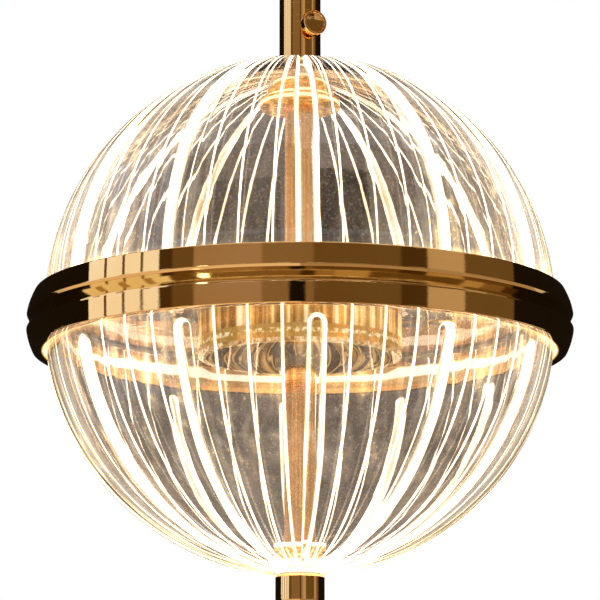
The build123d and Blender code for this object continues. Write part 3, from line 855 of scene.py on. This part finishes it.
fluted_dome = dome_tree()
upper_shell = grown_piece(
    "upper_fluted_dome",
    fluted_dome,
    {
        "Rim level": upper_rim,
        "Pole side": 1.0,
        "Flute turn": upper_flute_turn,
        "Flute half width": upper_flute_half_width,
        "Flute end angle": upper_flute_end,
        "Front boldness": 0.8,
        "Back boldness": 1.2,
        "Back floor glow": 0.9,
        "Back flute share": 0.5,
        "Rim glow angle": math.radians(84.2),
        "Pole glow": 0.34,
        "Finish": dome_acrylic,
    },
)
lower_shell = grown_piece(
    "lower_fluted_dome",
    fluted_dome,
    {
        "Rim level": lower_rim,
        "Pole side": -1.0,
        "Front boldness": 1.1,
        "Back boldness": 0.8,
        "Back flute share": 0.7,
        "Rim glow": 0.25,
        "Pole boldness": 0.5,
        "Pole glow": 0.56,
        "Finish": dome_acrylic,
    },
)
for shell, node in ((upper_shell, "upper_dome"), (lower_shell, "lower_dome")):
    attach(shell, "globe")
    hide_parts(node)


# Turned gold pieces


def rounded(corners):
    """Section points from (radius, height, round) corners, each round as a short arc."""
    points = []
    for index, (across, height, size) in enumerate(corners):
        corner = Vector((across, height))
        if size == 0:
            points.append(corner)
            continue
        to_last = (Vector(corners[index - 1][:2]) - corner).normalized()
        to_next = (Vector(corners[(index + 1) % len(corners)][:2]) - corner).normalized()
        half = to_last.angle(to_next) / 2
        centre = corner + (to_last + to_next).normalized() * (size / math.sin(half))
        start = corner + to_last * (size / math.tan(half)) - centre
        end = corner + to_next * (size / math.tan(half)) - centre
        first = math.atan2(start.y, start.x)
        sweep = math.remainder(math.atan2(end.y, end.x) - first, 2 * math.pi)
        for step in range(arc_steps + 1):
            turn = first + sweep * step / arc_steps
            points.append(centre + Vector((math.cos(turn), math.sin(turn))) * size)
    return points


def turned_piece(name, corners, finish, steps=turned_steps):
    """A piece turned about the Z axis from a closed section."""
    section = rounded(corners)
    bm = bmesh.new()
    rings = []
    for point in section:
        ring = []
        for step in range(steps):
            turn = 2 * math.pi * step / steps
            ring.append(bm.verts.new((point.x * math.cos(turn), point.x * math.sin(turn), point.y)))
        rings.append(ring)
    for ring, after in zip(rings, rings[1:] + rings[:1]):
        for step in range(steps):
            following = (step + 1) % steps
            bm.faces.new((ring[step], ring[following], after[following], after[step]))
    bmesh.ops.remove_doubles(bm, verts=bm.verts, dist=merge_distance)
    bmesh.ops.recalc_face_normals(bm, faces=bm.faces)
    mesh = bpy.data.meshes.new(name)
    bm.to_mesh(mesh)
    bm.free()
    mesh.shade_smooth()
    mesh.set_sharp_from_angle(angle=turned_sharp_angle)
    mesh.materials.append(finish)
    return new_object(name, mesh)


def band_radius_at(level):
    """Outer radius of the band at a height: one shallow bulge over both tiers, widest at the groove."""
    return band_radius - (level - groove_middle) ** 2 / (2 * band_bulge_radius)


def bulge(start_level, end_level, end_round):
    """Corners of a tier's outer face, from its groove side to its crest or foot."""
    corners = []
    for step in range(1, bulge_steps + 1):
        level = start_level + (end_level - start_level) * step / bulge_steps
        corners.append((band_radius_at(level), level, end_round if step == bulge_steps else 0))
    return corners


def upper_tier():
    """Upper ring of the band: a bulged face, a sloped ledge over the groove and a lip over the core."""
    top = upper_ring_high.z
    ledge_top = groove_top + ledge_height
    corners = [
        (lip_radius, top - lip_thickness, 0),
        (ring_inner_radius, top - lip_thickness, 0),
        (ring_inner_radius, groove_top, 0),
        (band_radius - ledge_depth, groove_top, ledge_round),
        (band_radius_at(ledge_top), ledge_top, ledge_round),
    ]
    corners += bulge(ledge_top, top, crest_round)
    corners.append((lip_radius, top, lip_round))
    return turned_piece("upper_tier", corners, band_gold)


def lower_tier():
    """Lower ring of the band: a bulged face under the groove and a lip under the core."""
    bottom = lower_ring_low.z
    corners = [
        (lip_radius, bottom + lip_thickness, 0),
        (ring_inner_radius, bottom + lip_thickness, 0),
        (ring_inner_radius, groove_bottom, 0),
        (band_radius_at(groove_bottom), groove_bottom, groove_edge_round),
    ]
    corners += bulge(groove_bottom - groove_edge_round * 2, bottom, foot_round)
    corners.append((lip_radius, bottom, lip_round))
    return turned_piece("lower_tier", corners, lit_band_gold())


def groove_core():
    """Core behind the groove: a shallow cove between the tiers, on a plain wall inside them."""
    core_low, core_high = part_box("band_core")
    outer = ring_inner_radius - core_clearance
    inner = outer - core_wall
    corners = [
        (inner, core_low.z, 0),
        (outer, core_low.z, 0),
        (outer, groove_bottom, 0),
    ]
    for step in range(cove_steps + 1):
        share = step / cove_steps
        dip = groove_cove * math.sin(math.pi * share)
        level = groove_bottom + (groove_top - groove_bottom) * share
        corners.append((groove_core_radius - dip, level, 0))
    corners += [
        (outer, groove_top, 0),
        (outer, core_high.z, 0),
        (inner, core_high.z, 0),
    ]
    return turned_piece("groove_core", corners, groove_gold)


def turned_finial():
    """Finial nut: straight barrel with a small shoulder, a taper and a round button."""
    top = finial_high.z
    bottom = finial_low.z
    button_radius = finial_radius - finial_button_inset
    corners = [
        (finial_bore, top, 0),
        (finial_radius, top, finial_top_round),
        (finial_radius, top - finial_barrel, 0),
        (button_radius, top - finial_barrel - finial_taper, 0),
        (button_radius, bottom, finial_button_round),
        (0, bottom, 0),
        (0, top - finial_bore_depth, 0),
        (finial_bore, top - finial_bore_depth, 0),
    ]
    return turned_piece("turned_finial", corners, stem_gold, finial_steps)


def turned_lock_screw():
    """Lock screw: shank, neck and a round head with a raised rim and a faintly crowned face."""
    dish_radius = lock_head_radius - lock_rim_width
    corners = [
        (0, lock_shank_start, 0),
        (lock_shank_radius, lock_shank_start, 0),
        (lock_shank_radius, lock_neck_start, 0),
        (lock_neck_radius, lock_neck_start, 0),
        (lock_neck_radius, lock_head_start, 0),
        (lock_head_radius, lock_head_start, lock_rim_round),
        (lock_head_radius, lock_face, lock_rim_round),
        (dish_radius, lock_face, lock_rim_round),
        (dish_radius, lock_face - lock_dish_depth, 0),
    ]
    for step in range(1, crown_steps + 1):
        across = dish_radius * (1 - step / crown_steps)
        rise = lock_crown * (1 - (across / dish_radius) ** 2)
        corners.append((across, lock_face - lock_dish_depth + rise, 0))
    piece = turned_piece("turned_lock_screw", corners, stem_gold, lock_steps)
    outwards = Matrix.Rotation(lock_turn, 4, "Z") @ Matrix.Rotation(math.pi / 2, 4, "X")
    piece.data.transform(Matrix.Translation((0, 0, lock_level)) @ outwards)
    return piece


for piece, body, node, slot in (
    (upper_tier(), "globe", "upper_band_ring", "gold_band"),
    (lower_tier(), "globe", "lower_band_ring", "gold_band"),
    (groove_core(), "globe", "band_core", "gold_band"),
    (turned_finial(), "finial", "finial", "gold_stem"),
    (turned_lock_screw(), "lock", "lock_screw", "gold_stem"),
):
    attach(piece, body)
    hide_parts(node)


# Stage


def card_material(name, colour):
    """Plain even studio card."""
    material, tree, shader = new_material(name)
    tree.nodes.remove(shader)
    light = tree.nodes.new("ShaderNodeEmission")
    light.inputs["Color"].default_value = (*colour, 1)
    tree.links.new(light.outputs["Emission"], tree.nodes["Material Output"].inputs["Surface"])
    material.cycles.emission_sampling = "NONE"
    return material


def card_point(azimuth, elevation, distance, lift):
    """Point on a card, by direction in degrees from the globe's centre; low points lie on the floor."""
    turn = math.radians(azimuth)
    rise = math.radians(elevation)
    out = Vector((math.sin(turn) * math.cos(rise), -math.cos(turn) * math.cos(rise), math.sin(rise)))
    floor_drop = floor_level + lift - globe_centre.z
    if out.z * distance < floor_drop:
        distance = floor_drop / out.z
    return globe_centre + out * distance


def set_card(name, points, columns, rows, colour, in_glass=False):
    """One card from rows of points, seen only in metal, or else only through glass."""
    faces = []
    for row in range(rows):
        for column in range(columns):
            corner = row * (columns + 1) + column
            faces.append((corner, corner + 1, corner + columns + 2, corner + columns + 1))
    mesh = bpy.data.meshes.new(name)
    mesh.from_pydata(points, [], faces)
    mesh.materials.append(card_material(name, colour))
    card = new_object(name, mesh)
    card.visible_camera = False
    card.visible_diffuse = False
    card.visible_shadow = False
    card.visible_glossy = not in_glass
    card.visible_transmission = in_glass


def studio_card(
    name, start, end, low, high, colour, distance=card_radius, lift=card_floor_lift, in_glass=False
):
    """Curved card round the globe between two azimuths and elevations in degrees; 0 is the front."""
    turns = max(1, round((end - start) / card_step))
    rises = max(1, round((high - low) / card_step))
    points = []
    for row in range(rises + 1):
        elevation = low + (high - low) * row / rises
        for column in range(turns + 1):
            points.append(card_point(start + (end - start) * column / turns, elevation, distance, lift))
    set_card(name, points, turns, rises, colour, in_glass)


camera_back = Vector((0, -math.cos(camera_drop_angle), -math.sin(camera_drop_angle)))
camera_place = globe_centre + camera_back * camera_distance


def mirrored_point(side, level, distance):
    """Where the camera's ray goes after the band, by distance to the side of the axis and height."""
    radius = band_radius_at(level)
    turn = math.asin(max(-1.0, min(1.0, side / radius)))
    tilt = math.atan((level - groove_middle) / band_bulge_radius)
    point = Vector((math.sin(turn) * radius, -math.cos(turn) * radius, level))
    normal = Vector((math.sin(turn) * math.cos(tilt), -math.cos(turn) * math.cos(tilt), math.sin(tilt)))
    out = (point - camera_place).normalized().reflect(normal)
    start = point - globe_centre
    along = start.dot(out)
    reach = -along + math.sqrt(along**2 - start.length_squared + distance**2)
    floor_drop = floor_level + card_floor_lift + card_radius - distance - point.z
    if out.z * reach < floor_drop:
        reach = floor_drop / out.z
    return point + out * reach


def tier_card(name, start, end, low, high, tone, distance=card_radius):
    """Card that one tier of the band mirrors between two distances from the axis and two heights."""
    columns = max(1, math.ceil((end - start) / tier_card_column))
    points = []
    for row in range(tier_card_rows + 1):
        level = low + (high - low) * row / tier_card_rows
        for column in range(columns + 1):
            points.append(mirrored_point(start + (end - start) * column / columns, level, distance))
    set_card(name, points, columns, tier_card_rows, tones[tone])


# Card brightness, by what it looks like in the gold
tones = {
    "cream": (1.02, 1.20, 1.52),
    "tan": (0.50, 0.42, 0.31),
    "fawn": (0.36, 0.275, 0.20),
    "umber": (0.24, 0.175, 0.10),
    "brown": (0.145, 0.10, 0.043),
    "dark": (0.07, 0.042, 0.014),
    "black": (0.010, 0.008, 0.005),
}
# Cards that both tiers mirror: their edges in millimetres to the side of the axis, left to right
band_cards = [
    (-108, "black"), (-79, "cream"), (-52, "dark"), (-47, "brown"), (-39, "fawn"), (-14, "umber"),
    (5, "brown"), (37, "dark"), (47, "tan"), (61, "brown"), (80, "black"), (108, "black"),
]
# Cards between those, for the stem, the groove and the finial: their edges in degrees of azimuth
round_cards = [
    (-180, "black"), (-100, "cream"), (-54, "brown"), (-40, "umber"), (0, "dark"), (6, "fawn"),
    (14, "tan"), (28, "brown"), (70, "tan"), (80, "umber"), (92, "dark"), (100, "black"), (180, "black"),
]
# Evenly spaced bars in front of the cream cards, and one dark stand in front of the middle
bar_count = 3
bar_distance = card_radius - 0.02
band_bar_start = -0.073
band_bar_spacing = 0.007
band_bar_width = 0.001
round_bar_start = -92
round_bar_spacing = 13
round_bar_width = 4
stand_sides = (-0.004, 0.002)

for tier_name, tier_low, tier_high in (
    ("upper", groove_top + tier_card_inset, upper_ring_high.z),
    ("lower", lower_ring_low.z, groove_bottom),
):
    for place, ((card_start, card_tone), (card_end, _)) in enumerate(zip(band_cards, band_cards[1:])):
        card_name = f"{tier_name}_card_{place}"
        tier_card(card_name, card_start / 1000, card_end / 1000, tier_low, tier_high, card_tone)
    for place in range(bar_count):
        bar_start = band_bar_start + band_bar_spacing * place
        bar_end = bar_start + band_bar_width
        bar_name = f"{tier_name}_bar_{place}"
        tier_card(bar_name, bar_start, bar_end, tier_low, tier_high, "brown", bar_distance)
tier_card("stand_card", *stand_sides, lower_ring_low.z, groove_bottom, "black", bar_distance)

for place, ((card_start, card_tone), (card_end, _)) in enumerate(zip(round_cards, round_cards[1:])):
    card_name = f"round_card_{place}"
    studio_card(card_name, card_start, card_end, *round_card_rise, tones[card_tone], round_card_distance)
for place in range(bar_count):
    bar_start = round_bar_start + round_bar_spacing * place
    bar_end = bar_start + round_bar_width
    bar_name = f"round_bar_{place}"
    studio_card(bar_name, bar_start, bar_end, *round_card_rise, tones["tan"], round_bar_distance)

# Warm cards on the floor
studio_card("left_floor_card", -180, 0, -89.5, -24, (0.80, 0.70, 0.55), lift=floor_card_lift)
studio_card("right_floor_card", 0, 180, -89.5, -24, (0.40, 0.32, 0.22), lift=floor_card_lift)

# Black flags behind and above, the same on both sides
for flag, near, far, low, high, flag_distance in (
    ("back_flag", 127, 180, -50, 0, near_flag_distance),
    ("top_flag", 95, 180, 60, 89, near_flag_distance),
    ("high_flag", 115, 180, 22, 60, high_flag_distance),
):
    studio_card(f"left_{flag}", -far, -near, low, high, tones["black"], distance=flag_distance)
    studio_card(f"right_{flag}", near, far, low, high, tones["black"], distance=flag_distance)

# Cards behind the globe, seen only through the acrylic
glass_card_tone = (1.0, 0.94, 0.86)
for card_name, start, end, low, high, colour, back_distance in (
    ("back_card", 165, 195, -60, 50, (0.34, 0.30, 0.27), card_radius),
    ("left_glass_card", 195, 232, -60, 60, glass_card_tone, card_radius),
    ("right_glass_card", 128, 165, -60, 60, glass_card_tone, card_radius),
    ("dark_back_card", 177.2, 179.3, 12.6, 16.5, (0.03, 0.025, 0.02), near_back_distance),
    ("dim_back_card", 180.7, 183.4, 12.6, 16.0, (0.15, 0.13, 0.11), near_back_distance),
):
    studio_card(card_name, start, end, low, high, colour, distance=back_distance, in_glass=True)

# Two small bright cards, for sparks in the gold
studio_card("spark_card", -34.8, -31.4, 0, 12, (7.0, 7.5, 9.0), distance=spark_distance)
studio_card("floor_spark_card", -59, -54, -56, -51, (2.4, 2.2, 1.9), lift=spark_floor_lift)


def pale_floor():
    """Large pale floor under the lamp."""
    half = floor_size / 2
    corners = [(-half, -half), (half, -half), (half, half), (-half, half)]
    mesh = bpy.data.meshes.new("floor")
    mesh.from_pydata([(x, y, floor_level) for x, y in corners], [], [(0, 1, 2, 3)])
    mesh.materials.append(grained("floor_paint", (0.86, 0.86, 0.85), (0.90, 0.90, 0.89), 0.7, 3.0))
    floor = new_object("floor", mesh)


def studio_world():
    """White surround for the camera, metal and glass, and plain soft light for the rest."""
    world = bpy.data.worlds.new("studio")
    bpy.context.scene.world = world
    world.use_nodes = True
    tree = world.node_tree
    soft = tree.nodes["Background"]
    soft.inputs["Color"].default_value = (1.0, 0.98, 0.96, 1)
    soft.inputs["Strength"].default_value = soft_light_strength
    white = add_node(tree, "ShaderNodeBackground", Color=(1, 1, 1, 1), Strength=1.0)
    path = tree.nodes.new("ShaderNodeLightPath")
    seen = Field(tree, path.outputs["Is Camera Ray"])
    seen = seen.largest(Field(tree, path.outputs["Is Glossy Ray"]))
    seen = seen.largest(Field(tree, path.outputs["Is Transmission Ray"]))
    mix = tree.nodes.new("ShaderNodeMixShader")
    put(tree, seen, mix.inputs["Fac"])
    tree.links.new(soft.outputs["Background"], mix.inputs[1])
    tree.links.new(white.outputs["Background"], mix.inputs[2])
    tree.links.new(mix.outputs["Shader"], tree.nodes["World Output"].inputs["Surface"])


def soft_lamp(name, place, aim, width, watts):
    """Square soft lamp turned towards a point, not seen itself in metal or glass."""
    lamp = bpy.data.lights.new(name, "AREA")
    lamp.size = width
    lamp.energy = watts
    holder = new_object(name, lamp)
    holder.location = place
    holder.rotation_euler = (Vector(aim) - Vector(place)).to_track_quat("-Z", "Y").to_euler()
    holder.visible_glossy = False
    holder.visible_transmission = False


def photo_camera():
    """Camera below the globe's centre, looking up at it."""
    camera = new_object("camera", bpy.data.cameras.new("camera"))
    camera.location = camera_place
    focal_px = camera_lens / camera.data.sensor_width * frame_width_px
    pitch = camera_drop_angle + math.atan(centre_drop_px / focal_px)
    camera.rotation_euler = (math.pi / 2 + pitch, 0, 0)
    camera.data.lens = camera_lens
    bpy.context.scene.camera = camera


pale_floor()
studio_world()
soft_lamp("key_lamp", place=(-1.6, -2.2, 1.6), aim=globe_centre, width=1.4, watts=30.0)
soft_lamp("fill_lamp", place=(2.0, -1.4, 0.8), aim=globe_centre, width=1.4, watts=12.0)
photo_camera()
bpy.context.scene.view_settings.view_transform = "Standard"
